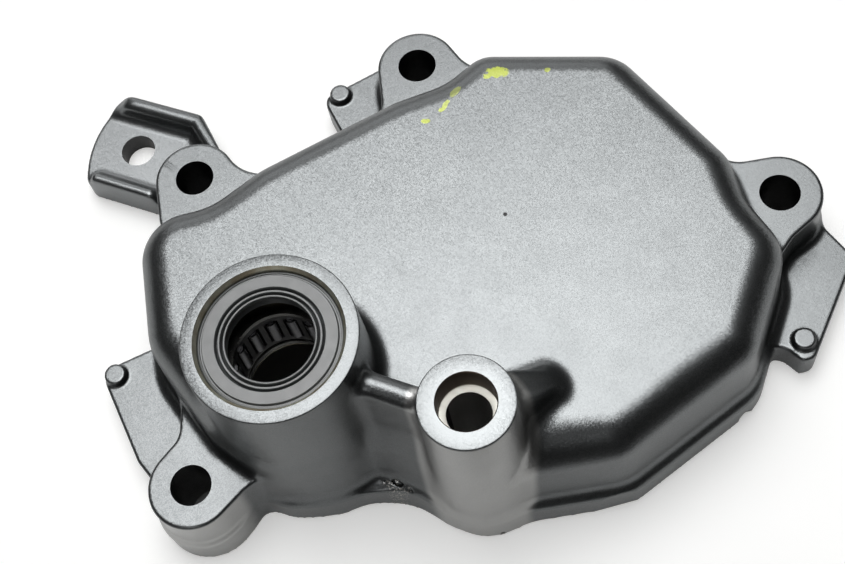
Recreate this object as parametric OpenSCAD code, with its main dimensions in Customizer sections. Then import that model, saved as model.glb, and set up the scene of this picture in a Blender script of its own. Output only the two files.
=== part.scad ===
// Side cover for a motorcycle engine, with its shaft seal and needle bearing.
// The gasket face lies on z = 0 and the shaft axis is the z axis.
// The outside of the cover looks up (+z), and the hollow inside opens downwards.

/* [Cover body] */
// Height of the flat top of the body above the gasket face
body_h = 24.3; // [20:0.1:30]
// Thickness of the flange and of the three cast pads
flange_t = 6; // [4:0.1:8]
// How far the flange stands out from the foot of the body wall
flange_step = 1.2; // [0.5:0.1:2]
// Radius of the rounded edge between the body wall and the flat top
edge_r = 5.5; // [3:0.1:6]
// Draft of the body wall, in degrees
draft = 3; // [0.5:0.1:5]
// Thickness of the body wall
wall_t = 3; // [2:0.1:4]
// Thickness of the roof over the hollow inside
roof_t = 3.2; // [2:0.1:5]
// Radius of the edge between the inner wall and the roof
inner_r = 2; // [0.5:0.1:2.5]

/* [Lugs for the cover bolts] */
// Height of the lugs
lug_h = 14.4; // [10:0.1:18]
// Outer radius of the lugs at their face
lug_r = 7.15; // [6:0.05:9]
// How far the flange stands out round the foot of each lug
lug_step = 0.7; // [0.3:0.1:1.5]
// Diameter of the bolt holes
bolt_d = 6.8; // [6.2:0.1:8]

/* [Tall bolt boss] */
// Distance of the tall boss from the shaft axis, to the right
tall_x = 25.2; // [24:0.1:27]
// Distance of the tall boss from the shaft axis, to the front
tall_y = 17.7; // [17:0.1:20]
// Outer radius of the tall boss at its face
tall_r = 7.2; // [6.5:0.1:8.5]
// Diameter of the counterbore in its face
counterbore_d = 8.9; // [8:0.1:11]
// Depth of the counterbore
counterbore_h = 5.2; // [2:0.1:12]

/* [Bearing boss] */
// Height of both machined boss faces above the gasket face
boss_h = 41.3; // [38:0.1:46]
// Outer radius of the bearing boss at its face
boss_r = 13.4; // [12.8:0.1:16]
// Draft of both bosses, in degrees
boss_draft = 1; // [0:0.1:2]
// Radius of the fillet at the foot of the bearing boss
foot_r = 2; // [0.5:0.1:3]
// Width of the chamfer at the mouth of the seal seat
mouth_chamfer = 0.4; // [0.1:0.05:0.8]
// Diameter of the shaft that the seal and the bearing carry
shaft_d = 14; // [13:0.1:15]
// Height of the lip that the boss keeps under the bearing
seat_lip = 2; // [1:0.1:4]

/* [Oil seal] */
// Outer diameter of the oil seal
seal_d = 22; // [21.4:0.1:23]
// Height of the oil seal
seal_h = 5; // [4:0.1:6]
// Depth of the seal face below the boss face
seal_sink = 0.7; // [0.2:0.1:1.5]
// Thickness of the wall and the face of the seal
seal_wall = 1.15; // [0.8:0.05:1.4]
// Wire diameter of the garter spring
spring_d = 1.1; // [0.8:0.05:1.3]
// Clearance between the spring and the seal lip
spring_gap = 0.03; // [0.01:0.01:0.1]

/* [Needle bearing] */
// Diameter of the needle rollers
roller_d = 2; // [1.6:0.05:2.4]
// Length of the bearing cup
cup_h = 12; // [11:0.1:14]
// Wall of the bearing cup
cup_wall = 0.95; // [0.7:0.05:1]
// Gap between the seal and the cup
cup_gap = 2.7; // [1:0.1:4]
// Length of each roller
roller_h = 6.4; // [5:0.1:7]
// Running clearance between the rollers and the cup
race_gap = 0.05; // [0.02:0.01:0.1]
// Clearance between a roller and its cage window
window_gap = 0.12; // [0.1:0.01:0.2]
// Thickness of the cage sleeve
cage_t = 0.7; // [0.5:0.05:0.9]
// Clearance between the cage rings and the cup
cage_gap = 0.08; // [0.05:0.01:0.1]
// Height of the two end rings of the cage
cage_ring = 1.2; // [0.8:0.1:1.4]

/* [Ribs] */
// Height of the rib between the two bosses
web_h = 36; // [30:0.1:38]
// Thickness of the rib between the two bosses
web_t = 4; // [3:0.1:5]
// Height of the apron in front of this rib
apron_h = 18.5; // [12:0.1:22]
// Height at which the gusset leaves the tall boss
gusset_h = 34.5; // [28:0.1:38]
// Length of the gusset from the axis of the tall boss
gusset_l = 13.7; // [11:0.1:18]
// Direction of the gusset, in degrees from the right
gusset_a = 17; // [0:1:30]
// Offset of the gusset to the rear of the axis of the tall boss
gusset_side = 1.4; // [0:0.1:3]
// Radius of the end of the gusset in the tall boss
gusset_root_r = 3.5; // [2.5:0.1:5]
// Radius of the far end of the gusset
gusset_r = 2.2; // [1:0.1:3]

/* [Ejector bosses on the pads] */
// Radius of the round ejector bosses
pin_r = 1.9; // [1.4:0.1:2.4]
// Height of the ejector bosses above the pads
pin_rise = 1.4; // [0.5:0.1:2]

/* [Bracket ear] */
// Thickness of the ear plate
ear_t = 4.4; // [2:0.1:5]
// Height of the two ear ribs
ear_rib_h = 8; // [5.5:0.1:10]
// Diameter of the hole in the ear
ear_hole_d = 6.4; // [5:0.1:7.5]

/* [Hidden] */
$fn = 64;
arc_step = 14;
roller_n = 15;

// Levels along the shaft axis
seal_top = boss_h - seal_sink;
seal_bottom = seal_top - seal_h;
cup_top = seal_bottom - cup_gap;
cup_bottom = cup_top - cup_h;
boss_bottom = cup_bottom - seat_lip;
roof_z = body_h - roof_t;

// Bearing sizes that follow from the shaft and the cup
shaft_r = shaft_d / 2;
roller_r = roller_d / 2;
pitch_r = shaft_r + roller_r;
race_r = pitch_r + roller_r + race_gap;
cup_r = race_r + cup_wall;
roller_z = (cup_top + cup_bottom) / 2;

// Centres of the tall boss, the four lugs, the ear hole and the ejector bosses
tall = [tall_x, -tall_y];
lug_rear = [33, 57];
lug_left = [-10.4, 46.4];
lug_right = [85.2, 13.5];
lug_front = [-20.6, -9.1];
bolt_holes = [lug_rear, lug_left, lug_right, lug_front, tall];
ear_hole = [-21.4, 61.8];
pins = [[18.1, 60.4], [81.9, -9.8], [-31.7, 16.8]];

// Points along the rib between the two bosses and beside it
web_dir = tall / norm(tall);
web_side = [web_dir[1], -web_dir[0]];
function by_web(along, aside) = web_dir * along + web_side * aside;
web_in = by_web(12.2, web_t / 2 + 0.3);
web_out = by_web(norm(tall) - 5.4, web_t / 2 + 0.6);

// Foot of the body wall, clockwise from above: x, y and corner radius.
// The wall starts at the rib, runs under the bearing boss, passes the left, rear
// and right lugs, and comes back along the front to the tall boss.
BODY = [
    [web_in[0], web_in[1], 2],
    [2.5, -13.6, 7],
    [-8.5, -11.6, 8],
    [-15.6, -4.8, 6.8],
    [-23.1, 13.2, 12],
    [-21.2, 37.5, 9],
    [-8, 36.9, 11],
    [1.5, 41.2, 14],
    [27, 47.4, 12],
    [36, 48.2, 12],
    [43.6, 52.1, 6.8],
    [67.2, 44.4, 8.5],
    [78.7, 19.2, 9],
    [78.9, 10.5, 12],
    [82.1, 0.9, 8.5],
    [71.1, -15.6, 8],
    [46.8, -25.7, 9],
    [tall[0] - 1.2, tall[1] - 5.6, 6.8],
    [web_out[0], web_out[1], 5]
];

// Unit vector from a to b, and the angle of a vector
function toward(a, b) = (b - a) / norm(b - a);
function heading(v) = atan2(v[1], v[0]);
// Turn from one angle to the next, between -180 and 180
function turn(a, b) = let(d = b - a) d > 180 ? d - 360 : (d < -180 ? d + 360 : d);
// Points of an arc round c, in n steps
function arc(c, r, from, sweep, n) =
    [for (i = [0:n]) c + r * [cos(from + sweep * i / n), sin(from + sweep * i / n)]];
// Rounded corner at q between p and s, moved inwards by inset on a clockwise outline
function corner(p, q, s, r, inset = 0, steps = 0) =
    let(
        a = toward(p, q),
        b = toward(q, s),
        t = turn(heading(a), heading(b)),
        side = t < 0 ? -1 : 1,
        c = q - a * r * tan(abs(t) / 2) + side * r * [-a[1], a[0]],
        n = steps > 0 ? steps : max(1, ceil(abs(t) / arc_step))
    )
    arc(c, r + side * inset, heading(a) - side * 90, t, n);
// Closed clockwise outline with rounded corners, moved inwards by inset
function outline(v, inset = 0) =
    let(n = len(v))
    [for (i = [0:n - 1])
        let(p = v[(i + n - 1) % n], q = v[i], s = v[(i + 1) % n])
        each corner([p[0], p[1]], [q[0], q[1]], [s[0], s[1]], q[2], inset)];
// Angle on the circle round c where the tangent from p touches it
function touch(c, r, p, side) = heading(p - c) + side * acos(r / norm(p - c));
function on(c, r, a) = c + r * [cos(a), sin(a)];
// Clockwise outline of a lug: from the body over heel_a and root_a to the round end,
// and back over root_b and heel_b. The roots are rounded by the fillet radius.
function lug_outline(c, r, heel_a, root_a, root_b, heel_b, fillet) =
    let(
        ta = touch(c, r, root_a, -1),
        tb = touch(c, r, root_b, 1),
        sweep = turn(ta, tb) > 0 ? turn(ta, tb) - 360 : turn(ta, tb)
    )
    concat(
        [heel_a],
        corner(heel_a, root_a, on(c, r, ta), fillet, 0, 4),
        arc(c, r, ta, sweep, 18),
        corner(on(c, r, tb), root_b, heel_b, fillet, 0, 4),
        [heel_b]
    );

// Solid through a stack of outlines with equally many points, lowest first.
// The hub is a point that sees every corner of the lowest and the highest outline.
module loft(rings, levels, hub) {
    n = len(rings[0]);
    k = len(rings);
    points = concat(
        [for (j = [0:k - 1]) for (p = rings[j]) [p[0], p[1], levels[j]]],
        [[hub[0], hub[1], levels[0]], [hub[0], hub[1], levels[k - 1]]]
    );
    sides = [for (j = [0:k - 2]) for (i = [0:n - 1])
        let(a = j * n + i, b = j * n + (i + 1) % n)
        each [[a, b + n, a + n], [a, b, b + n]]];
    bottom = [for (i = [0:n - 1]) [(i + 1) % n, i, k * n]];
    top = [for (i = [0:n - 1]) [(k - 1) * n + i, (k - 1) * n + (i + 1) % n, k * n + 1]];
    polyhedron(points, concat(bottom, sides, top), convexity = 10);
}

// Body wall from z0 to the top: it leans in by the draft and ends in a rounded edge
EDGE = [0, 18, 36, 54, 72, 84];
module drafted(first, z0, top, r) {
    lean = (top - r - z0) * tan(draft);
    rings = concat([outline(BODY, first)],
        [for (a = EDGE) outline(BODY, first + lean + r * (1 - cos(a)))]);
    levels = concat([z0], [for (a = EDGE) a == 84 ? top : top - r + r * sin(a)]);
    loft(rings, levels, [15, 15]);
}

// Ring with a hollow quarter round, as the fillet at the foot of a boss
module foot(r) {
    rotate_extrude()
        polygon(concat(
            [[r - 0.8, -0.6], [r - 0.8, foot_r]],
            [for (a = [0:30:90]) [r + foot_r * (1 - cos(a)), foot_r * (1 - sin(a)) - 0.05]],
            [[r + foot_r, -0.6]]
        ));
}

module cylinder_at(c, r, h) {
    translate([c[0], c[1], 0]) cylinder(r = r, h = h);
}

// Round boss with draft, r at its face
module boss(r, top) {
    cylinder(h = top, r1 = r + top * tan(boss_draft), r2 = r);
}

module lug(c, heel_a, root_a, root_b, heel_b, fillet) {
    linear_extrude(lug_h) polygon(lug_outline(c, lug_r, heel_a, root_a, root_b, heel_b, fillet));
    cylinder_at(c, lug_r + lug_step, flange_t);
}

module lugs() {
    lug(lug_rear, [19, 45.5], [24.7, 49], [41.6, 54.4], [51, 49], 7);
    lug(lug_left, [-17.6, 33], [-18, 40], [-2.4, 45], [8, 41.8], 8);
    lug(lug_right, [73.8, 28.5], [79.8, 21.3], [84.6, 5.2], [79.6, 1], 5);
    lug(lug_front, [-5, -9], [-12.4, -12.2], [-21.2, -0.6], [-19, 9], 4);
}

// Flange under the body, and the strip that closes it in front of the bosses
module flange() {
    linear_extrude(flange_t) {
        polygon(outline(BODY, -flange_step));
        polygon(outline([
            [12, -4, 1], [-8, -8, 1], [-9, -13.8, 3], [3.8, -15, 30],
            [13.2, -16.6, 8], [19, -23.6, 2], [tall[0], tall[1], 2]
        ]));
        circle(r = boss_r + 1.2);
        translate(tall) circle(r = tall_r + 0.7);
    }
}

module pads() {
    linear_extrude(flange_t) {
        polygon(outline([
            [34, 54, 1], [18.2, 45, 1], [15, 59.4, 3], [15.4, 61.3, 1.6], [34, 66.2, 6], [39, 58, 2]
        ]));
        polygon(outline([
            [78, 10, 1], [92, 10.4, 1], [95.3, 2.3, 2], [82.7, -13.2, 2], [80.6, -13.2, 1],
            [78.9, -10.4, 3], [70, -6, 1]
        ]));
        polygon(outline([
            [-20, -4, 1], [-27.4, -6, 1], [-30.6, 0.6, 4], [-34.5, 18.6, 3], [-18, 21.6, 1]
        ]));
    }
    for (p = pins) {
        translate([p[0], p[1], 0]) cylinder(r = pin_r, h = flange_t + pin_rise);
    }
}

// Rib between the bosses with a round crest, and the apron in front of it
module web() {
    rotate([0, 0, heading(tall)])
        translate([6, 0, 0])
            rotate([90, 0, 90])
                linear_extrude(norm(tall) - 10) {
                    translate([-web_t / 2, 1]) square([web_t, web_h - web_t / 2 - 1]);
                    translate([0, web_h - web_t / 2]) circle(d = web_t);
                }
    hull() {
        linear_extrude(flange_t)
            polygon([[4, -11], [5.5, -14.3], [11.6, -14.3], [19.5, -21.8], tall]);
        linear_extrude(apron_h)
            polygon([by_web(11, 0), by_web(11, 3.4), by_web(22, 3.4), by_web(24, 0)]);
    }
}

// Gusset rib that falls from the tall boss to the flat top
module gusset() {
    translate(tall) rotate(gusset_a) hull() {
        translate([tall_r - 0.7, gusset_side, body_h - 6])
            cylinder(r = gusset_root_r, h = gusset_h - body_h + 6, $fn = 32);
        translate([gusset_l, gusset_side, body_h - 6])
            cylinder(r = gusset_r, h = 6.2, $fn = 24);
    }
}

// Bracket ear: plate, rear rib with its bend, and front rib
EAR = [
    [-9, 46, 1], [-19.6, 48.9, 2], [-32.6, 57.9, 1], [-30.4, 66.8, 22],
    [-22.6, 73.9, 1.5], [-8, 64.2, 2.5], [-5.2, 52, 1]
];
module ear() {
    linear_extrude(ear_t) polygon(outline(EAR));
    linear_extrude(ear_rib_h) {
        difference() {
            polygon(outline(EAR));
            polygon(outline([
                [-16, 50, 1], [-33.6, 61.4, 1], [-30.8, 76, 1], [-24.4, 73.5, 1],
                [-9.6, 63.4, 1.5], [-7.2, 53, 1]
            ]));
        }
    }
}

// Hollow inside, which leaves a column for the tall boss and the end of the bearing boss
module hollow() {
    difference() {
        drafted(wall_t, -1, roof_z, inner_r);
        translate([tall[0], tall[1], -2]) cylinder(r = tall_r + 0.6, h = body_h + 2);
        translate([0, 0, boss_bottom]) cylinder(r = boss_r - 0.2, h = body_h);
    }
}

// Stepped bore for the seal and the bearing, with a chamfered mouth
module shaft_bore() {
    seat_r = seal_d / 2;
    mouth_z = min(boss_bottom, roof_z) - 1;
    rotate_extrude()
        polygon([
            [0, mouth_z],
            [cup_r - 2, mouth_z],
            [cup_r - 2, cup_bottom],
            [cup_r, cup_bottom],
            [cup_r, seal_bottom],
            [seat_r, seal_bottom],
            [seat_r, boss_h - mouth_chamfer],
            [seat_r + mouth_chamfer + 0.05, boss_h + 0.05],
            [seat_r + mouth_chamfer + 0.05, boss_h + 1],
            [0, boss_h + 1]
        ]);
}

module cover_casting() {
    color([0.30, 0.31, 0.32])
    difference() {
        union() {
            drafted(0, flange_t - 1, body_h, edge_r);
            flange();
            pads();
            lugs();
            ear();
            web();
            gusset();
            boss(boss_r, boss_h);
            intersection() {
                translate([0, 0, body_h]) foot(boss_r + 0.15);
                translate([0, 0, body_h - 1])
                    linear_extrude(foot_r + 2) polygon(outline(BODY, edge_r + 0.3));
            }
            translate([tall[0], tall[1], 0]) boss(tall_r, boss_h);
        }
        hollow();
        shaft_bore();
        for (p = bolt_holes) {
            translate([p[0], p[1], -1]) cylinder(d = bolt_d, h = boss_h + 2);
        }
        translate([tall[0], tall[1], boss_h - counterbore_h])
            cylinder(d = counterbore_d, h = counterbore_h + 1);
        translate([ear_hole[0], ear_hole[1], -1]) cylinder(d = ear_hole_d, h = ear_t + 2);
    }
}

// Rubber-covered seal: case wall, face with a ring groove, dust lip and sealing lip
module oil_seal() {
    out = seal_d / 2;
    back = shaft_r + 1.02;
    color([0.12, 0.12, 0.13])
    translate([0, 0, seal_bottom])
        rotate_extrude()
            polygon([
                [out, 0.3],
                [out, seal_h - 0.4],
                [out - 0.4, seal_h],
                [shaft_r + 1.75, seal_h],
                [shaft_r + 1.6, seal_h - 0.4],
                [shaft_r + 1.2, seal_h - 0.4],
                [shaft_r + 1.05, seal_h],
                [shaft_r + 0.15, seal_h - 0.05],
                [shaft_r + 0.1, seal_h - 0.3],
                [shaft_r + 0.75, seal_h - 1.1],
                [shaft_r + 0.7, seal_h - 1.7],
                [shaft_r + 0.05, seal_h / 2 - 0.4],
                [shaft_r + 0.6, 0.8],
                [back + 0.4, 0.8],
                [back + 0.4, seal_h / 2 - 1.2],
                [back, seal_h / 2 - 1.1],
                [back, seal_h - seal_wall - 0.5],
                [back + 0.4, seal_h - seal_wall],
                [out - seal_wall, seal_h - seal_wall],
                [out - seal_wall, 0],
                [out - 0.3, 0]
            ]);
}

// Closed coil that presses the lip on the shaft, drawn as a plain ring
module garter_spring() {
    color([0.62, 0.60, 0.56])
    translate([0, 0, seal_bottom + seal_h / 2 - 0.4])
        rotate_extrude()
            translate([shaft_r + 1.02 + spring_gap + spring_d / 2, 0])
                circle(d = spring_d, $fn = 32);
}

// Drawn cup with its two turned-in lips
module bearing_cup() {
    color([0.45, 0.45, 0.46])
    translate([0, 0, cup_bottom])
        rotate_extrude()
            polygon([
                [shaft_r + 0.3, 0],
                [cup_r - 0.5, 0],
                [cup_r, 0.5],
                [cup_r, cup_h - 0.5],
                [cup_r - 0.5, cup_h],
                [shaft_r + 0.3, cup_h],
                [shaft_r + 0.3, cup_h - cup_wall],
                [race_r, cup_h - cup_wall],
                [race_r, cup_wall],
                [shaft_r + 0.3, cup_wall]
            ]);
}

// Cage: a sleeve with two end rings, and one window for each roller
module bearing_cage() {
    half = roller_h / 2 + window_gap;
    in = pitch_r - roller_r / 2;
    out = race_r - cage_gap;
    color([0.35, 0.35, 0.36])
    translate([0, 0, roller_z])
    difference() {
        rotate_extrude()
            polygon([
                [in, -half - cage_ring],
                [out, -half - cage_ring],
                [out, -half - 0.3],
                [in + cage_t, -half + 0.4],
                [in + cage_t, half - 0.4],
                [out, half + 0.3],
                [out, half + cage_ring],
                [in, half + cage_ring]
            ]);
        for (i = [0:roller_n - 1]) {
            rotate([0, 0, i * 360 / roller_n])
                translate([shaft_r, -roller_r - window_gap, -half])
                    cube([2 * roller_r + 0.2, 2 * (roller_r + window_gap), 2 * half]);
        }
    }
}

// Needle roller number k, with a small chamfer at both ends
module roller(k) {
    color([0.70, 0.70, 0.71])
    rotate([0, 0, (k - 1) * 360 / roller_n])
        translate([pitch_r, 0, roller_z])
            rotate_extrude($fn = 32)
                polygon([
                    [0, -roller_h / 2],
                    [roller_r - 0.2, -roller_h / 2],
                    [roller_r, -roller_h / 2 + 0.2],
                    [roller_r, roller_h / 2 - 0.2],
                    [roller_r - 0.2, roller_h / 2],
                    [0, roller_h / 2]
                ]);
}

cover_casting();
oil_seal();
garter_spring();
bearing_cup();
bearing_cage();
roller(1);  // roller_01
roller(2);  // roller_02
roller(3);  // roller_03
roller(4);  // roller_04
roller(5);  // roller_05
roller(6);  // roller_06
roller(7);  // roller_07
roller(8);  // roller_08
roller(9);  // roller_09
roller(10);  // roller_10
roller(11);  // roller_11
roller(12);  // roller_12
roller(13);  // roller_13
roller(14);  // roller_14
roller(15);  // roller_15
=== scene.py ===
import math

import bpy
import numpy as np
import openvdb
from mathutils import Matrix, Vector


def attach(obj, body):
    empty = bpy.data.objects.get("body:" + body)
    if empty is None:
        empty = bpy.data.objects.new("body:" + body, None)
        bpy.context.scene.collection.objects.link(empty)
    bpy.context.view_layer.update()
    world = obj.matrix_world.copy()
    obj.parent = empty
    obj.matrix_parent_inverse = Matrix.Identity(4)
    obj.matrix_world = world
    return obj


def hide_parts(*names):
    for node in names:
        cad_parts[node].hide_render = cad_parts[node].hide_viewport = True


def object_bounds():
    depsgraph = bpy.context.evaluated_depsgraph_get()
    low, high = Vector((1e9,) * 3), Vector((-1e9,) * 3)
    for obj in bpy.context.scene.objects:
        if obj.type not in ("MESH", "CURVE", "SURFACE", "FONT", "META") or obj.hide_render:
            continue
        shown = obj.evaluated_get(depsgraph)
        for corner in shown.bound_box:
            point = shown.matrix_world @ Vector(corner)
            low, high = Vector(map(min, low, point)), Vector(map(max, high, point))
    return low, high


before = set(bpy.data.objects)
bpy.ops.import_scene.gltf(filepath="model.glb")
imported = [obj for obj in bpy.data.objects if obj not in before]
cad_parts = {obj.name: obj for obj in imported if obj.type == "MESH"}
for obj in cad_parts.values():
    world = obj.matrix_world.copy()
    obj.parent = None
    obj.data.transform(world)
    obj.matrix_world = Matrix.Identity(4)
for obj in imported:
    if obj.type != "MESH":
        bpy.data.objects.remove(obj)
cad_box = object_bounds()

# --- Cover casting -----------------------------------------------------------
# The real piece is one pressure die casting in aluminium, painted graphite grey.
# Its lugs, bosses, ribs and pads run into the body with cast fillets, and the
# boss faces, bores and gasket face were machined after painting.

# Sizes in millimetres, in the frame: the bearing's axis is the z axis, the table is z = 0
FACE = 41.3                     # machined faces of both bosses
TOP = 24.3                      # flat top of the body
LUG_TOP, FLANGE_TOP, PIN_TOP, EAR_TOP = 14.4, 6.0, 7.4, 4.4
WALL, DRAFT, EDGE = 3.0, 3, 5.5
BOSS_R, TALL_R, LUG_R, PIN_R = 13.4, 7.2, 7.15, 1.9
BOLT_R, EAR_HOLE_R = 3.4, 3.2
CUP_R, SEAL_R, WELL_R = 10.0, 11.0, 4.4
TALL = np.array([25.2, -17.7])  # the tall bolt boss
EAR_HOLE = (-21.4, 61.8)

# The rib between the bosses runs along WEB, and SIDE points away from the body
WEB = TALL / np.hypot(*TALL)
SIDE = np.array([WEB[1], -WEB[0]])


def by_web(along, aside):
    return list(WEB * along + SIDE * aside)


# Outline corners, each with its own radius
BODY = [
    by_web(12.2, 2.3) + [2], [2.5, -13.6, 7], [-8.5, -11.6, 8], [-15.6, -4.8, 6.8],
    [-23.1, 13.2, 12], [-21.2, 37.5, 9], [-8, 36.9, 11], [1.5, 41.2, 14],
    [27, 47.4, 12], [36, 48.2, 12], [43.6, 52.1, 6.8], [67.2, 44.4, 8.5],
    [78.7, 19.2, 9], [78.9, 10.5, 12], [82.1, 0.9, 8.5], [71.1, -15.6, 8],
    [46.8, -25.7, 9], [24, -23.3, 6.8], by_web(25.4, 2.6) + [5],
]
EAR = [
    [-9, 46, 1], [-19.6, 48.9, 2], [-32.3, 57.7, 2.6], [-30.6, 66.6, 20],
    [-22.8, 74.0, 3.6], [-8, 64.2, 2.5], [-5.2, 52, 1],
]


def turn(a, b):
    """Angle from heading a to heading b, between -180 and 180 degrees."""
    return (b - a + 180) % 360 - 180


def heading(v):
    return math.degrees(math.atan2(v[1], v[0]))


def arc(c, r, start, sweep, n):
    return [(c[0] + r * math.cos(math.radians(start + sweep * i / n)),
             c[1] + r * math.sin(math.radians(start + sweep * i / n))) for i in range(n + 1)]


def corner(p, q, s, r):
    """Points of the rounded corner at q between p and s."""
    p, q, s = (np.array(v[:2], float) for v in (p, q, s))
    a, b = (q - p) / np.hypot(*(q - p)), (s - q) / np.hypot(*(s - q))
    t = turn(heading(a), heading(b))
    side = -1 if t < 0 else 1
    c = q - a * r * math.tan(math.radians(abs(t) / 2)) + side * r * np.array([-a[1], a[0]])
    return arc(c, r, heading(a) - side * 90, t, max(2, math.ceil(abs(t) / 6)))


def outline(v):
    """Closed outline through the corners v, all rounded."""
    n = len(v)
    return [q for i in range(n) for q in corner(v[i - 1], v[i], v[(i + 1) % n], v[i][2])]


def lug_outline(c, r, heel_a, root_a, root_b, heel_b, fillet):
    """From the body round the lug's hole and back, clockwise."""
    def touch(p, side):
        d = np.array(p) - c
        return heading(d) + side * math.degrees(math.acos(r / np.hypot(*d)))
    c = np.array(c, float)
    ta, tb = touch(root_a, -1), touch(root_b, 1)
    sweep = turn(ta, tb)
    sweep = sweep - 360 if sweep > 0 else sweep
    on = lambda a: c + r * np.array([math.cos(math.radians(a)), math.sin(math.radians(a))])
    return ([heel_a] + corner(heel_a, root_a, on(ta), fillet) + arc(c, r, ta, sweep, 40)
            + corner(on(tb), root_b, heel_b, fillet) + [heel_b])


# The casting is one distance field on a grid, in millimetres: negative inside the metal
STEP = 0.34
LOW = np.array([-36.0, -29.0, -1.35])
COUNT = np.ceil((np.array([98.0, 76.5, 43.2]) - LOW) / STEP).astype(int)
AX = [(LOW[i] + STEP * np.arange(COUNT[i])).astype(np.float32) for i in range(3)]
X, Y = AX[0][:, None], AX[1][None, :]
Z = AX[2][None, None, :]


def polygon(points, X=X, Y=Y):
    """Signed distance to a closed outline in the plane, negative inside."""
    near = np.full(np.broadcast(X, Y).shape, 1e9, np.float32)
    inside = np.zeros(near.shape, bool)
    for (ax, ay), (bx, by) in zip(points, points[1:] + points[:1]):
        ex, ey = bx - ax, by - ay
        if ex * ex + ey * ey < 1e-12:
            continue
        t = np.clip(((X - ax) * ex + (Y - ay) * ey) / (ex * ex + ey * ey), 0, 1)
        near = np.minimum(near, (X - ax - t * ex) ** 2 + (Y - ay - t * ey) ** 2)
        if ey:
            inside ^= ((ay > Y) != (by > Y)) & (X < ex * (Y - ay) / ey + ax)
    return (np.where(inside, -1, 1) * np.sqrt(near)).astype(np.float32)


def disc(c, r):
    return (np.hypot(X - c[0], Y - c[1]) - r).astype(np.float32)


def blend(a, b, k):
    """Union of two distance fields with a fillet of about k."""
    h = np.maximum(k - np.abs(a - b), 0) / k
    return np.minimum(a, b) - h * h * (k / 4)


def shelf(d, top, edge, draft=0.0, foot=0.0):
    """Drafted prism over the plan d, from the floor up to a rounded edge at the top."""
    lean = math.tan(math.radians(draft))
    q = (d[:, :, None] + (Z - foot) * lean) * math.cos(math.radians(draft)) + edge
    w = Z - top + edge
    return rounded(q, w) - edge


def rounded(q, w):
    """Distance to the edge between the faces q = 0 and w = 0, rounded outside."""
    return np.sqrt(np.maximum(q, 0) ** 2 + np.maximum(w, 0) ** 2) + np.minimum(np.maximum(q, w), 0)


# Each lug: hole, then heel, root, root and heel of its two fillets, and the fillet's radius
LUGS = [
    ((33, 57), (19, 45.5), (24.7, 49), (41.6, 54.4), (51, 49), 7),
    ((-10.4, 46.4), (-17.6, 33), (-18, 40), (-2.4, 45), (8, 41.8), 8),
    ((85.2, 13.5), (73.8, 28.5), (79.8, 21.3), (84.6, 5.2), (79.6, 1), 5),
    ((-20.6, -9.1), (-5, -9), (-12.4, -12.2), (-21.2, -0.6), (-19, 9), 4),
]
PINS = [(18.1, 60.4), (81.9, -9.8), (-31.7, 16.8)]
pads = [
    [[34, 54, 1], [18.2, 45, 1], [15, 59.4, 3], [15.4, 61.3, 1.6], [34, 66.2, 6], [39, 58, 2]],
    [[78, 10, 1], [92, 10.4, 1], [95.3, 2.3, 2], [82.7, -13.2, 2], [80.6, -13.2, 1],
     [78.9, -10.4, 3], [70, -6, 1]],
    [[-20, -4, 1], [-27.4, -6, 1], [-30.6, 0.6, 4], [-34.5, 18.6, 3], [-18, 21.6, 1]],
]
strip = [[12, -4, 1], [-8, -8, 1], [-9, -13.8, 3], [3.8, -15, 30], [13.2, -16.6, 8],
         [19, -23.6, 2], [25.2, -17.7, 2]]

# Flange round the body, the strip in front of the bosses and the feet of the lugs
body_plan = polygon(outline(BODY))
base = blend(body_plan - 1.2, polygon(outline(strip)), 2.0)
base = blend(base, disc((0, 0), BOSS_R + 1.2), 1.5)
base = blend(base, disc(TALL, TALL_R + 0.5), 1.2)
for lug in LUGS:
    base = blend(base, disc(lug[0], LUG_R + 0.65), 1.6)
field = shelf(base, FLANGE_TOP, 0.6)

# Body: its top edge grows wider along the front and tighter at the front corner
ahead = np.clip((10 - Y) / 18, 0, 1) * np.clip((X - 18) / 10, 0, 1) * np.clip((68 - X) / 20, 0, 1)
at_corner = np.exp(-((X - 49.5) ** 2 + (Y + 19) ** 2) / 70)
edge = EDGE + 1.6 * ahead * ahead * (3 - 2 * ahead) - 1.6 * at_corner
edge = edge.astype(np.float32)[:, :, None]
field = blend(field, shelf(body_plan, TOP, edge, DRAFT, FLANGE_TOP), 3.0)

# Pads, lugs and the small round ejector bosses
for pad in pads:
    field = blend(field, shelf(polygon(outline(pad)), FLANGE_TOP, 0.5), 1.0)
for c, *rest in LUGS:
    plan = polygon(lug_outline(c, LUG_R, *rest))
    field = blend(field, shelf(plan, LUG_TOP, 0.5, 1.5, LUG_TOP), 1.8)
for c in PINS:
    field = blend(field, shelf(disc(c, PIN_R), PIN_TOP, 0.35), 0.5)

# Bracket ear with a short rib in front and a bent one behind, which slopes off at its end
ear_plan = polygon(outline(EAR))
front_rib = polygon([(-29.5, 57.0), (-20.5, 50.7)]) - 1.0
rear_rib = polygon([(-22.6, 72.1), (-9.1, 62.9)])
rear_rib = np.minimum(rear_rib, polygon([(-9.1, 62.9), (-6.8, 55.5)])) - 1.25
ear = shelf(ear_plan, EAR_TOP, 0.6)
ear = blend(ear, shelf(front_rib, 7.0, 0.95, 14, 7), 1.4)
rear = shelf(rear_rib, 7.9, 1.1, 14, 8)
along = ((X + 24.1) * 0.825 - (Y - 73.1) * 0.565)[:, :, None]
rear = -blend(-rear, (EAR_TOP - 0.2 + along - Z) / 1.41, 1.2)
ear = blend(ear, rear, 1.6)
ear = -blend(-ear, -(ear_plan[:, :, None] - 0.02), 0.5)
field = blend(field, ear, 1.2)

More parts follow.
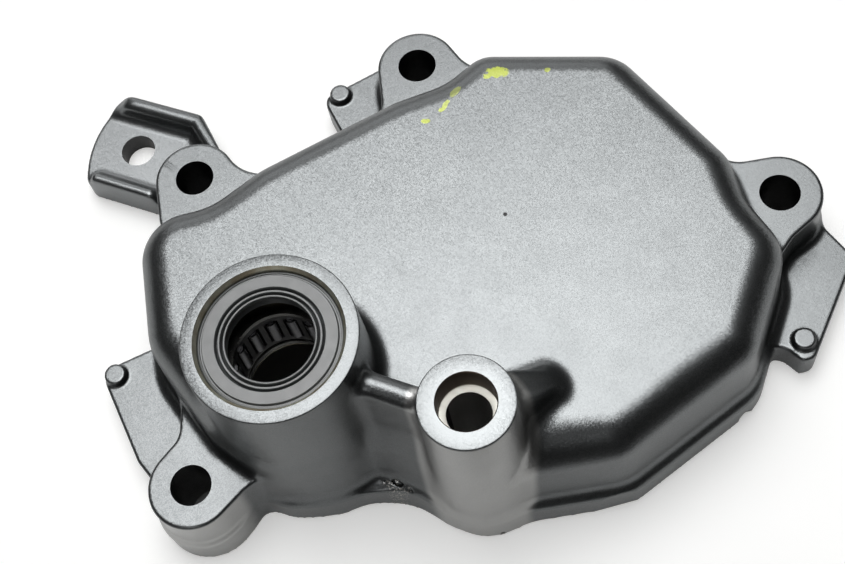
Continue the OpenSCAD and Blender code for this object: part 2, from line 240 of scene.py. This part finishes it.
# Rib between the bosses with a round crest, and the leaning apron in front of it
WEB_R, WEB_AXIS, APRON_TOP = 2.0, 34.0, 18.5
u = (X * WEB[0] + Y * WEB[1])[:, :, None]
v = (X * SIDE[0] + Y * SIDE[1])[:, :, None]
q = np.maximum(np.abs(v) - 0.02 * (WEB_AXIS + WEB_R - Z), 0)
w = np.maximum(Z - WEB_AXIS, 0)
web = np.maximum(np.sqrt(q * q + w * w) - WEB_R, np.maximum(4 - u, u - 26))
slant = ((v - 3.2) + (Z - APRON_TOP) * 0.19) * 0.98
apron = -blend(-slant, -(Z - APRON_TOP), 4.0)
apron = np.maximum(apron, np.maximum(8 - u, np.maximum(u - 25, -v - 1)))

# Both bosses stand over the machined faces here, and are turned down to them below
OVER = 1.1
bosses = blend(shelf(disc((0, 0), BOSS_R), FACE + OVER, 0.4, 1, FACE), web, 2.2)
bosses = blend(bosses, shelf(disc(TALL, TALL_R), FACE + OVER, 0.4, 1, FACE), 2.2)

# Gusset of the tall boss: a tapered fin that leans down to the top of the body
GUSSET_TURN, GUSSET_TOP, GUSSET_LONG, GUSSET_EDGE = math.radians(17), 34.5, 7.2, 1.5
ca, sa = math.cos(GUSSET_TURN), math.sin(GUSSET_TURN)
along = ((X - TALL[0]) * ca + (Y - TALL[1]) * sa)[:, :, None]
aside = ((Y - TALL[1]) * ca - (X - TALL[0]) * sa)[:, :, None] - 1.4
t = np.clip((along - 6.5) / GUSSET_LONG, 0, 1)
g = np.hypot(along - 6.5 - GUSSET_LONG * t, aside) - (3.0 - 1.1 * t)
g = g - (GUSSET_TOP - Z) * 0.10 * (1 - 0.5 * t) + GUSSET_EDGE
w = (along - 7.4) * 0.731 + (Z - GUSSET_TOP) * 0.682 + GUSSET_EDGE
bosses = blend(bosses, rounded(g, w) - GUSSET_EDGE, 1.6)

# All of it runs into the body with fillets, which are wider low down beside the apron
near = np.clip(1.4 - np.hypot(X - 6, Y + 13.5) / 12, 0, 1).astype(np.float32)[:, :, None]
near = near * np.clip((16 - Z) / 6, 0, 1)
field = blend(field, apron, 2.5 + 0.8 * near)
field = blend(field, bosses, 2.8 + 1.0 * near)
del ear, front_rib, rear_rib, rear, bosses, slant, apron, web, g, w, t, along, aside, q

# Hollow inside, with the column of the tall boss and the end of the bearing boss
hollow = shelf(body_plan + WALL, 21.1, 2.0, DRAFT, 0)
hollow = np.maximum(hollow, -disc(TALL, 7.8)[:, :, None])
end = np.maximum(disc((0, 0), 13.2)[:, :, None], 18.9 - Z)
hollow = -blend(-hollow, end, 1.0)
field = -blend(-field, hollow, 0.6)

# The gasket face, and the sides of the solids that the casting keeps inside
(x_min, y_min, _), (x_max, y_max, _) = (np.array(corner_of_box) * 1000 for corner_of_box in cad_box)
for side in (-Z, Z - FACE - 1.0, X - x_max, x_min - X, Y - y_max, y_min - Y):
    field = np.maximum(field, side[:, :, None] if side.ndim == 2 else side)

# Faults of the real casting: a broken notch in the flange, and long pores in the apron's foot
notch_x, notch_y = ((X - 69.9) / 1.5)[:, :, None], ((Y + 18.3) / 1.2)[:, :, None]
notch = np.sqrt(notch_x ** 2 + notch_y ** 2 + ((Z - 0.3) / 2.4) ** 2) - 1
field = np.maximum(field, -notch * 1.2)
PORES = [(11.2, -15.1, 6.6, 0.6, 2.0, -41), (9.3, -14.3, 6.3, 0.32, 1.6, -30),
         (13.0, -16.8, 6.2, 0.34, 1.5, -50), (25.6, -25.6, 0.6, 0.4, 1.6, -10)]
for x, y, z, r, long, turned in PORES:
    a, b = math.cos(math.radians(turned)), math.sin(math.radians(turned))
    p, q = ((X - x) * a + (Y - y) * b)[:, :, None] / long, ((Y - y) * a - (X - x) * b)[:, :, None]
    field = np.maximum(field, r - np.sqrt(p * p + q * q + (Z - z) ** 2))
del hollow, notch, end

volume = openvdb.FloatGrid()
volume.copyFromArray(np.ascontiguousarray(field, dtype=np.float32))
points, triangles, quads = volume.convertToPolygons(isovalue=0.0, adaptivity=0.0)
del volume


def sample(p):
    """Field at points given in grid steps, between the grid's own values."""
    p = np.clip(p, 0, COUNT - 1.001)
    i = p.astype(int)
    f = p - i
    total = 0
    for dx in (0, 1):
        for dy in (0, 1):
            for dz in (0, 1):
                weight = (np.abs(1 - dx - f[:, 0]) * np.abs(1 - dy - f[:, 1])
                          * np.abs(1 - dz - f[:, 2]))
                total = total + weight * field[i[:, 0] + dx, i[:, 1] + dy, i[:, 2] + dz]
    return total


def slope(p):
    """Direction in which the field grows, at the same points."""
    return np.stack([sample(p + e) - sample(p - e) for e in np.eye(3) * 0.5], 1)


# The corners of the mesh are drawn onto the surface itself
points = points.astype(np.float64)
for _ in range(2):
    grad = slope(points)
    length = np.maximum(np.linalg.norm(grad, axis=1), 0.2 * STEP)[:, None]
    points -= np.clip(sample(points)[:, None] / STEP, -0.5, 0.5) * grad / length
points = (points * STEP + LOW) / 1000
faces = [tuple(int(k) for k in f) for f in quads] + [tuple(int(k) for k in f) for f in triangles]


def mesh_object(name, verts, polys):
    mesh = bpy.data.meshes.new(name)
    mesh.from_pydata([tuple(p) for p in verts], [], polys)
    mesh.update()
    obj = bpy.data.objects.new(name, mesh)
    bpy.context.scene.collection.objects.link(obj)
    return obj


def apply_modifiers(obj):
    deps = bpy.context.evaluated_depsgraph_get()
    mesh = bpy.data.meshes.new_from_object(obj.evaluated_get(deps))
    old = obj.data
    obj.modifiers.clear()
    obj.data = mesh
    bpy.data.meshes.remove(old)


def lathe(profile, at=(0.0, 0.0), steps=128):
    """Closed solid of revolution about z, from (radius, height) corners in millimetres."""
    verts, polys, rows = [], [], []
    for r, z in profile:
        if r < 1e-6:
            rows.append([len(verts)] * steps)
            verts.append((at[0] / 1000, at[1] / 1000, z / 1000))
        else:
            rows.append(list(range(len(verts), len(verts) + steps)))
            for i in range(steps):
                a = 2 * math.pi * i / steps
                x, y = at[0] + r * math.cos(a), at[1] + r * math.sin(a)
                verts.append((x / 1000, y / 1000, z / 1000))
    closed = profile[0][0] > 1e-6
    pairs = list(zip(rows, rows[1:] + rows[:1])) if closed else list(zip(rows, rows[1:]))
    for low, high in pairs:
        for i in range(steps):
            j = (i + 1) % steps
            ring = [low[i], low[j], high[j], high[i]]
            ring = [k for n, k in enumerate(ring) if k != ring[n - 1]]
            if len(ring) > 2:
                polys.append(tuple(ring))
    return verts, polys


MOST_TRIANGLES = 180000
casting = mesh_object("painted_casting", points, faces)
shrink = casting.modifiers.new("shrink", "DECIMATE")
shrink.ratio = min(1.0, MOST_TRIANGLES / (2 * len(quads) + len(triangles)))
apply_modifiers(casting)

# Machining: five drilled holes, and two tools that bore a boss, break the edge of its
# bore and face it with a rounded rim
drills = [lathe([(0, -2), (r, -2), (r, top), (0, top)], c, 96)
          for c, r, top in [(lug[0], BOLT_R, 20) for lug in LUGS] + [(EAR_HOLE, EAR_HOLE_R, 12)]]
TALL_BORE = [(0, -2), (BOLT_R, -2), (BOLT_R, 35.9), (4.0, 36.1), (WELL_R, 36.15), (WELL_R, 41.15),
             (WELL_R + 0.15, FACE)]
BEARING_BORE = [(0, 17.5), (8, 17.5), (8, 20.9), (CUP_R, 20.9), (CUP_R, 35.6), (SEAL_R, 35.6),
                (SEAL_R, 40.85), (SEAL_R + 0.45, FACE)]
for c, r, bore in [(TALL, TALL_R, TALL_BORE), ((0, 0), BOSS_R, BEARING_BORE)]:
    rim = [(r - 0.28, FACE), (r - 0.13, 41.26), (r - 0.02, 41.14), (r + 0.04, 40.95), (r + 0.14, 40.5),
           (r + 1.0, 40.5), (r + 1.0, 43.5), (0, 43.5)]
    drills.append(lathe(bore + rim, c, 192))
verts, polys = [], []
for more_verts, more_polys in drills:
    polys += [tuple(k + len(verts) for k in f) for f in more_polys]
    verts += more_verts
drill = mesh_object("drill", verts, polys)
for obj in (casting, drill):
    obj.data.validate()
cut = casting.modifiers.new("cut", "BOOLEAN")
cut.operation, cut.solver, cut.object = "DIFFERENCE", "EXACT", drill
apply_modifiers(casting)
bpy.data.objects.remove(drill)


class Value:
    """One shader socket. The operators + - * / make Math nodes from it."""

    def __init__(self, tree, socket):
        self.tree, self.socket = tree, socket

    def math(self, operation, *others):
        node = self.tree.nodes.new("ShaderNodeMath")
        node.operation = operation
        for socket, value in zip(node.inputs, (self,) + others):
            put(self.tree, socket, value)
        return Value(self.tree, node.outputs[0])

    def swapped(self, operation, first):
        node = self.tree.nodes.new("ShaderNodeMath")
        node.operation = operation
        put(self.tree, node.inputs[0], first)
        put(self.tree, node.inputs[1], self)
        return Value(self.tree, node.outputs[0])

    def __add__(self, other): return self.math("ADD", other)
    def __radd__(self, other): return self.math("ADD", other)
    def __sub__(self, other): return self.math("SUBTRACT", other)
    def __rsub__(self, other): return self.swapped("SUBTRACT", other)
    def __mul__(self, other): return self.math("MULTIPLY", other)
    def __rmul__(self, other): return self.math("MULTIPLY", other)
    def __truediv__(self, other): return self.math("DIVIDE", other)
    def __rtruediv__(self, other): return self.swapped("DIVIDE", other)

    def ramp(self, low, high, smooth=True):
        node = self.tree.nodes.new("ShaderNodeMapRange")
        node.interpolation_type = "SMOOTHSTEP" if smooth else "LINEAR"
        put(self.tree, node.inputs["Value"], self)
        node.inputs["From Min"].default_value = low
        node.inputs["From Max"].default_value = high
        return Value(self.tree, node.outputs["Result"])


def put(tree, socket, value):
    if isinstance(value, Value):
        tree.links.new(value.socket, socket)
    elif hasattr(socket.default_value, "__len__") and not hasattr(value, "__len__"):
        socket.default_value = [value] * len(socket.default_value)
    elif hasattr(value, "__len__") and len(value) == 3 and len(socket.default_value) == 4:
        socket.default_value = (*value, 1)
    else:
        socket.default_value = value


class Finish:
    """A material, and one method that adds any node to it."""

    def __init__(self, name, **constants):
        self.material = bpy.data.materials.new(name)
        self.material.use_nodes = True
        self.tree = self.material.node_tree
        self.shader = next(n for n in self.tree.nodes if n.type == "BSDF_PRINCIPLED")
        for key, value in constants.items():
            put(self.tree, self.shader.inputs[key.replace("_", " ")], value)
        self.place = self.node("ShaderNodeNewGeometry", output="Position")

    def node(self, kind, settings=None, inputs=None, output=0):
        node = self.tree.nodes.new(kind)
        for key, value in (settings or {}).items():
            setattr(node, key, value)
        for key, value in (inputs or {}).items():
            put(self.tree, node.inputs[key], value)
        return Value(self.tree, node.outputs[output])

    def noise(self, size_mm, detail=2.0, rough=0.5):
        return self.node("ShaderNodeTexNoise", None, {
            "Vector": self.place, "Scale": 1000 / size_mm, "Detail": detail, "Roughness": rough}, "Fac")

    def mix(self, fac, a, b):
        return self.node("ShaderNodeMix", {"data_type": "RGBA"}, {0: fac, 6: a, 7: b}, 2)

    def axis(self, i):
        """Place along one axis in millimetres."""
        return self.node("ShaderNodeSeparateXYZ", None, {0: self.place}, i) * 1000.0

    def spot(self, x, y, r, soft=0.3):
        """1 inside a circle in plan, 0 outside; millimetres."""
        px, py = self.axis(0) - x, self.axis(1) - y
        dist = (px * px + py * py).math("SQRT")
        return 1.0 - dist.ramp(r * (1 - soft), r * (1 + soft))

    def blot(self, x, y, rx, ry, turned):
        """Ragged oval, as a dab of paint leaves it."""
        a, b = math.cos(math.radians(turned)), math.sin(math.radians(turned))
        px, py = self.axis(0) - x, self.axis(1) - y
        u, v = (px * a + py * b) / rx, (py * a - px * b) / ry
        rag = self.noise(0.8, 4, 0.75) * 1.6 - 0.8
        return 1.0 - ((u * u + v * v).math("SQRT") + rag).ramp(0.75, 1.0)

    def set(self, socket, value):
        put(self.tree, self.shader.inputs[socket], value)

    def bump(self, height, distance_mm, strength=1.0, normal=None):
        inputs = {"Height": height, "Distance": distance_mm / 1000, "Strength": strength}
        if normal:
            inputs["Normal"] = normal
        self.set("Normal", self.node("ShaderNodeBump", None, inputs, "Normal"))


# Graphite paint: tiny metal flakes, each with its own shade and its own lean
paint = Finish("graphite_paint", IOR=1.5)
cells = paint.node("ShaderNodeTexVoronoi", None, {"Vector": paint.place, "Scale": 7000.0}, "Color")
flake = paint.node("ShaderNodeSeparateColor", None, {0: cells}, 0)
cloud = paint.noise(14, 3)
grey = paint.mix((flake * 0.8 + cloud * 0.3), (0.135, 0.142, 0.144), (0.205, 0.214, 0.217))
height = paint.axis(2)

# Painted light: the tall boss's face, its side and the front lug's side are made lighter, where more light
# falls on them
tall_face_painted_highlight = paint.spot(*TALL, 7.6, 0.05) * height.ramp(40.9, 41.2)
grey = paint.mix(tall_face_painted_highlight * 0.8, grey, (0.225, 0.235, 0.238))
tall_side_painted_light = paint.spot(*TALL, 9.6, 0.06) * (1.0 - height.ramp(40.6, 40.9))
lug_side_painted_light = paint.spot(*LUGS[3][0], 8.4, 0.06) * (1.0 - height.ramp(13.7, 14.0))
grey = paint.mix(tall_side_painted_light.math("MAXIMUM", lug_side_painted_light) * 0.9, grey, (0.50, 0.50, 0.49))

# Painted shade: an occlusion mask darkens the corners and recesses, but not what faces up
painted_corner_shade = paint.node("ShaderNodeAmbientOcclusion", {"samples": 6, "only_local": True},
                    {"Distance": 0.012}, "AO").ramp(0.25, 1.0, False)
facing = paint.node("ShaderNodeNewGeometry", output="Normal")
facing = paint.node("ShaderNodeSeparateXYZ", None, {0: facing}, 2).ramp(0.55, 0.9)
grey = paint.mix(painted_corner_shade.math("MAXIMUM", facing), (0.03, 0.03, 0.03), grey)

# Painted light and shade: the ear is made paler, and the wall of its hole is painted dark
ear_painted_light = paint.spot(-23, 61, 13, 0.3) * (1.0 - height.ramp(6.5, 9.0))
grey = paint.mix(ear_painted_light * 0.55, grey, (0.26, 0.27, 0.275))
ear_hole_painted_shade = paint.spot(*EAR_HOLE, 3.4, 0.02) * (1.0 - height.ramp(4.25, 4.35))
grey = paint.mix(ear_hole_painted_shade, grey, (0.05, 0.05, 0.05))

# Dabs of yellow-green marking paint by the rear edge, one dark speck, and bare metal in the pores
marks = 0.0
for x, y, rx, ry, turned, strength in [
        (45.3, 44.7, 2.1, 1.15, -14, 1.0), (43.6, 44.4, 0.8, 0.6, 0, 0.9), (53.5, 42.5, 0.6, 0.5, 0, 0.7),
        (37.6, 43.2, 1.5, 0.7, 35, 0.45), (35.4, 41.2, 1.2, 0.45, 45, 0.6), (34.5, 40.4, 0.7, 0.4, 20, 0.7),
        (31.4, 39.0, 0.85, 0.5, -20, 0.95)]:
    marks = (paint.blot(x, y, rx, ry, turned) * strength).math("MAXIMUM", marks)
speck = paint.spot(39.5, 18.0, 0.35)
colour = paint.mix(marks, grey, (0.56, 0.64, 0.10))
colour = paint.mix(speck, colour, (0.02, 0.02, 0.02))
flecks = paint.spot(11.2, -15.2, 2.0, 0.5) * (1.0 - height.ramp(6.5, 7.5))
flecks = flecks * paint.noise(0.35, 3, 0.7).ramp(0.56, 0.6)
colour = paint.mix(flecks, colour, (0.75, 0.72, 0.66))
paint.set("Base Color", colour)
paint.set("Metallic", 0.97 - marks * 0.92)
paint.set("Roughness", paint.noise(5, 3) * 0.08 + flake * 0.06 + 0.27)
tilt = paint.node("ShaderNodeVectorMath", {"operation": "SUBTRACT"}, {0: cells, 1: (0.5, 0.5, 0.5)})
tilt = paint.node("ShaderNodeVectorMath", {"operation": "SCALE"},
                  {0: tilt, "Scale": height.ramp(16, 20) * 0.06 + 0.07})
plain = paint.node("ShaderNodeNewGeometry", output="Normal")
leaned = paint.node("ShaderNodeVectorMath", {"operation": "ADD"}, {0: plain, 1: tilt})
leaned = paint.node("ShaderNodeVectorMath", {"operation": "NORMALIZE"}, {0: leaned})
paint.bump(paint.noise(0.4, 2), 0.01, 0.5, leaned)

# Machined aluminium: fine turning lines, stained gold in the large bore and brown in the well
bare = Finish("machined_aluminium", Metallic=1.0)
angle = bare.axis(0).math("ARCTAN2", bare.axis(1)) * 0.011
lines = bare.node("ShaderNodeCombineXYZ", None, {0: angle, 1: 0.0, 2: 0.0})
lines = bare.node("ShaderNodeTexNoise", None, {"Vector": lines, "Scale": 5000.0, "Detail": 2.0}, "Fac")
stain = bare.noise(3, 4)
metal = bare.mix(stain.ramp(0.35, 0.65), (0.42, 0.37, 0.27), (0.60, 0.60, 0.50))
well = bare.spot(*TALL, 5, 0.02)
metal = bare.mix(well * 0.8, metal, (0.78, 0.77, 0.72))
metal = bare.mix(well * bare.axis(2).ramp(36.3, 36.6) * 0.9, metal, (0.13, 0.085, 0.06))
bare.set("Base Color", metal)
bare.set("Roughness", lines * 0.25 + 0.35)
bare.bump(lines, 0.03, 0.5)

# The unpainted skin inside
raw = Finish("cast_aluminium", Metallic=0.9)
raw.set("Base Color", raw.mix(raw.noise(6, 4), (0.40, 0.39, 0.37), (0.56, 0.56, 0.55)))
raw.set("Roughness", raw.noise(1.5, 3) * 0.2 + 0.42)
raw.bump(raw.noise(0.5, 3), 0.05, 0.5)

# Each face takes its finish from its place: raw inside, bare on the gasket face and in the bores
PAINTED, BARE, RAW = 0, 1, 2
mesh = casting.data
mesh.materials.clear()
for finish in (paint, bare, raw):
    mesh.materials.append(finish.material)
fx, fy, fz = (np.array([poly.center for poly in mesh.polygons]) * 1000).T
up = np.array([poly.normal.z for poly in mesh.polygons])
deep = polygon(outline(BODY), fx, fy)
r_boss = np.hypot(fx, fy)
r_tall = np.hypot(fx - TALL[0], fy - TALL[1])
slot = np.where((deep < -2.4 - 0.045 * fz) & (fz < 21.4), RAW, PAINTED)
slot[(fz < 0.02) & (up < -0.9)] = BARE
slot[(r_boss < SEAL_R + 0.4) & (fz > 18) & (up < 0.98)] = BARE
slot[(r_tall < WELL_R + 0.3) & (fz > 20) & (up < 0.98)] = BARE
slot[(r_tall < WELL_R + 0.02) & (fz > 35) & (fz < 37)] = BARE
mesh.polygons.foreach_set("material_index", slot.astype(np.int32))

# Smooth shading: cast faces take their normals from the field, machined ones keep their own
mesh.set_sharp_from_angle(angle=math.radians(32))
place = np.empty(len(mesh.vertices) * 3, np.float32)
mesh.vertices.foreach_get("co", place)
where = (place.reshape(-1, 3) * 1000 - LOW) / STEP
lean = slope(where)
lean /= np.maximum(np.linalg.norm(lean, axis=1), 1e-6)[:, None]
off = np.abs(sample(where))
loops = np.empty(len(mesh.loops), np.int32)
mesh.loops.foreach_get("vertex_index", loops)
flat = np.repeat([tuple(p.normal) for p in mesh.polygons], [p.loop_total for p in mesh.polygons], axis=0)
shown = np.empty(len(mesh.loops) * 3, np.float32)
mesh.corner_normals.foreach_get("vector", shown)
shown = shown.reshape(-1, 3)
cast = (np.sum(flat * lean[loops], axis=1) > 0.75) & (off[loops] < 0.1)
shown[cast] = lean[loops][cast]
mesh.normals_split_custom_set(shown.tolist())
del field
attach(casting, "cover")
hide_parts("cover_casting")

# --- Oil seal ----------------------------------------------------------------
# The real piece is a steel ring moulded over with black nitrile rubber. Its face
# has two fine beads, a deep ring groove and a dust lip, and it is pressed into
# the bearing boss until it lies just under the machined face.

# (radius, height) from the outer wall over the face and the lip to the spring's seat
seal_profile = [
    (11, 35.9), (11, 40.0), (10.9, 40.25), (10.76, 40.34), (10.6, 40.34), (10.5, 40.16), (10.3, 40.16),
    (10.22, 40.5), (10.12, 40.6), (9.95, 40.6), (8.5, 40.6), (8.34, 40.6), (8.26, 40.52), (8.2, 40.2),
    (8.15, 39.6), (7.97, 39.5), (7.9, 40.2), (7.85, 40.42), (7.78, 40.5), (7.72, 40.5), (7.6, 40.5),
    (7.54, 40.5), (7.47, 40.4), (7.43, 39.9), (7.38, 39.4), (7.2, 39.3), (7.13, 39.8), (7.1, 40.3),
    (7.05, 40.44), (6.97, 40.5), (6.9, 40.5), (6.82, 40.5), (6.76, 40.48), (6.7, 40.4), (6.68, 40.2),
    (7.0, 39.2), (7.55, 38.9), (7.7, 38.6), (6.95, 37.7), (7.6, 36.4), (8.42, 36.4), (8.42, 36.9),
    (8.02, 37.0), (8.02, 38.95), (8.42, 39.3), (9.85, 39.3), (9.85, 35.6), (10.7, 35.6),
]
seal = mesh_object("seal_rubber_ring", *lathe(seal_profile, (0, 0), 192))
rubber = Finish("black_rubber", Specular_IOR_Level=1.0)
rubber.set("Base Color", rubber.mix(rubber.noise(3, 3), (0.055, 0.060, 0.060), (0.080, 0.086, 0.086)))
rubber.set("Roughness", rubber.noise(1.5, 3) * 0.18 + 0.30)
rubber.bump(rubber.noise(0.6, 2), 0.01, 0.3)
seal.data.materials.append(rubber.material)
seal.data.shade_smooth()
seal.data.set_sharp_from_angle(angle=math.radians(35))
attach(seal, "cover")
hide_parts("oil_seal")

# --- Garter spring ------------------------------------------------------------
# A fine steel wire wound to a ring. It sits in the groove behind the seal's lip
# and draws the lip onto the shaft.


def steel(name, dark, light, rough, grain_mm):
    """Bright steel in a film of oil, cloudy between two greys."""
    finish = Finish(name, Metallic=1.0, Roughness=rough)
    finish.set("Base Color", finish.mix(finish.noise(grain_mm * 6, 3), dark, light))
    finish.set("Roughness", finish.noise(grain_mm * 3, 3) * 0.15 + (rough - 0.07))
    finish.bump(finish.noise(grain_mm, 2), 0.01, 0.08)
    return finish.material


def wear(node, material):
    """Gives a solid of the frame its material, and leaves its mesh as it is."""
    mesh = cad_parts[node].data
    mesh.materials.clear()
    mesh.materials.append(material)


wear("garter_spring", steel("spring_wire", (0.35, 0.33, 0.30), (0.60, 0.57, 0.52), 0.25, 0.2))

# --- Bearing cup --------------------------------------------------------------
# A cup drawn from thin steel sheet with a turned-in lip at each end, hardened, and
# pressed into the boss under the seal. The rollers run on its inner wall.

wear("bearing_cup", steel("cup_steel", (0.22, 0.22, 0.21), (0.38, 0.38, 0.36), 0.24, 0.4))

# --- Bearing cage -------------------------------------------------------------
# A sleeve of thin steel strip, punched with a window for each roller. It keeps the
# rollers apart and turns with them.

wear("bearing_cage", steel("cage_steel", (0.05, 0.05, 0.052), (0.12, 0.12, 0.12), 0.35, 0.3))

# --- Needle rollers -----------------------------------------------------------
# Fifteen ground and hardened steel pins of 2 mm, held loosely in the cage's windows,
# each of which turns about its own axis.

ROLLERS = 15
roller_steel = steel("roller_steel", (0.19, 0.19, 0.20), (0.30, 0.30, 0.31), 0.20, 0.3)
for number in range(1, ROLLERS + 1):
    wear(f"roller_{number:02d}", roller_steel)

# --- Table --------------------------------------------------------------------
# A white laminate table top. It lies a hair under the gasket face, has a painted shadow under the cover,
# and its near part is painted black where the paint mirrors it.

HALF, DROP = 3.0, 1e-4
table = mesh_object("table", [(-HALF, -HALF, -DROP), (HALF, -HALF, -DROP), (HALF, HALF, -DROP),
                              (-HALF, HALF, -DROP)], [(0, 1, 2, 3)])
white = Finish("white_table", Roughness=0.9)
# Painted shadow: under the cover and the lugs' holes the table's colour is dark and it has no glow
shade = 1.0
for x, y, r in [(0, 14, 17), (22, 22, 24), (50, 12, 30),
                (33, 57, 5), (-10.4, 47, 5), (85.2, 14, 5), (-20.6, -8.5, 4.5)]:
    shade = (1.0 - white.spot(x, y, r, 0.15)) * shade
plain = white.mix(white.noise(60, 3), (0.66, 0.66, 0.655), (0.74, 0.74, 0.735))
white.set("Base Color", white.mix(shade, (0.22, 0.22, 0.22), plain))
rays = white.node("ShaderNodeLightPath").socket.node
glossy = Value(white.tree, rays.outputs["Is Glossy Ray"])
# Painted shade: the table's near part is black to glossy rays, so the paint mirrors a dark floor there
mirrored_front_painted_shade = glossy * (1.0 - white.axis(1).ramp(-62, -36)) * 0.93
seen = Value(white.tree, rays.outputs["Is Camera Ray"]).math("MAXIMUM", glossy * 0.3) * shade
glow = white.node("ShaderNodeEmission", None, {"Color": (1, 1, 0.99), "Strength": 0.38})
nothing = white.node("ShaderNodeEmission", None, {"Color": (0, 0, 0), "Strength": 0.0})
extra = white.node("ShaderNodeMixShader", None, {0: seen, 1: nothing, 2: glow})
total = white.node("ShaderNodeAddShader", None, {0: Value(white.tree, white.shader.outputs[0]), 1: extra})
total = white.node("ShaderNodeMixShader", None, {0: mirrored_front_painted_shade, 1: total, 2: nothing})
out = next(n for n in white.tree.nodes if n.type == "OUTPUT_MATERIAL")
white.tree.links.new(total.socket, out.inputs["Surface"])
table.data.materials.append(white.material)


# --- Lights -------------------------------------------------------------------
# One large soft box over the part, brighter in its middle, a low strip behind, a
# weak fill from the front left, and a dark room.


def area_light(name, place, target, size, power):
    light = bpy.data.lights.new(name, "AREA")
    light.shape, light.size, light.size_y = "RECTANGLE", size[0], size[1]
    light.energy = power
    obj = bpy.data.objects.new(name, light)
    obj.location = place
    obj.rotation_euler = (Vector(target) - Vector(place)).to_track_quat("-Z", "Y").to_euler()
    bpy.context.scene.collection.objects.link(obj)


area_light("softbox", (0.03, 0.235, 0.98), (0.03, 0.01, 0.03), (0.8, 0.90), 9.0)
area_light("centre", (0.03, 0.25, 0.93), (0.03, 0.01, 0.03), (0.42, 0.34), 1.1)
area_light("rear", (0.03, 1.0, 0.42), (0.03, 0.03, 0.02), (0.9, 0.45), 1.5)
area_light("fill", (-0.5, -0.9, 0.7), (0.03, 0.0, 0.0), (0.5, 0.5), 1.0)
world = bpy.data.worlds.new("studio")
bpy.context.scene.world = world
world.use_nodes = True
room = world.node_tree.nodes["Background"]
room.inputs["Color"].default_value = (1, 1, 1, 1)
room.inputs["Strength"].default_value = 0.02

# --- Camera -------------------------------------------------------------------
# Held over the front edge, looking steeply down, and rolled a little to the left.
# Its place and focal length were solved from the circles of the bosses and holes.

camera = bpy.data.objects.new("camera", bpy.data.cameras.new("camera"))
camera.data.sensor_width = 36
camera.data.lens = 1402.834 / 845 * camera.data.sensor_width
camera.data.clip_start = 0.01
pitch, roll = math.radians(64.328), math.radians(15.222)
forward = Vector((0, math.cos(pitch), -math.sin(pitch)))
right, down = Vector((1, 0, 0)), Vector((0, -math.sin(pitch), -math.cos(pitch)))
cam_x = right * math.cos(roll) + down * math.sin(roll)
cam_y = right * math.sin(roll) - down * math.cos(roll)
turned = Matrix((cam_x, cam_y, -forward)).transposed().to_4x4()
camera.matrix_world = Matrix.Translation((0.0237, -0.0868, 0.226)) @ turned
bpy.context.scene.collection.objects.link(camera)
bpy.context.scene.camera = camera
bpy.context.scene.view_settings.view_transform = "Standard"
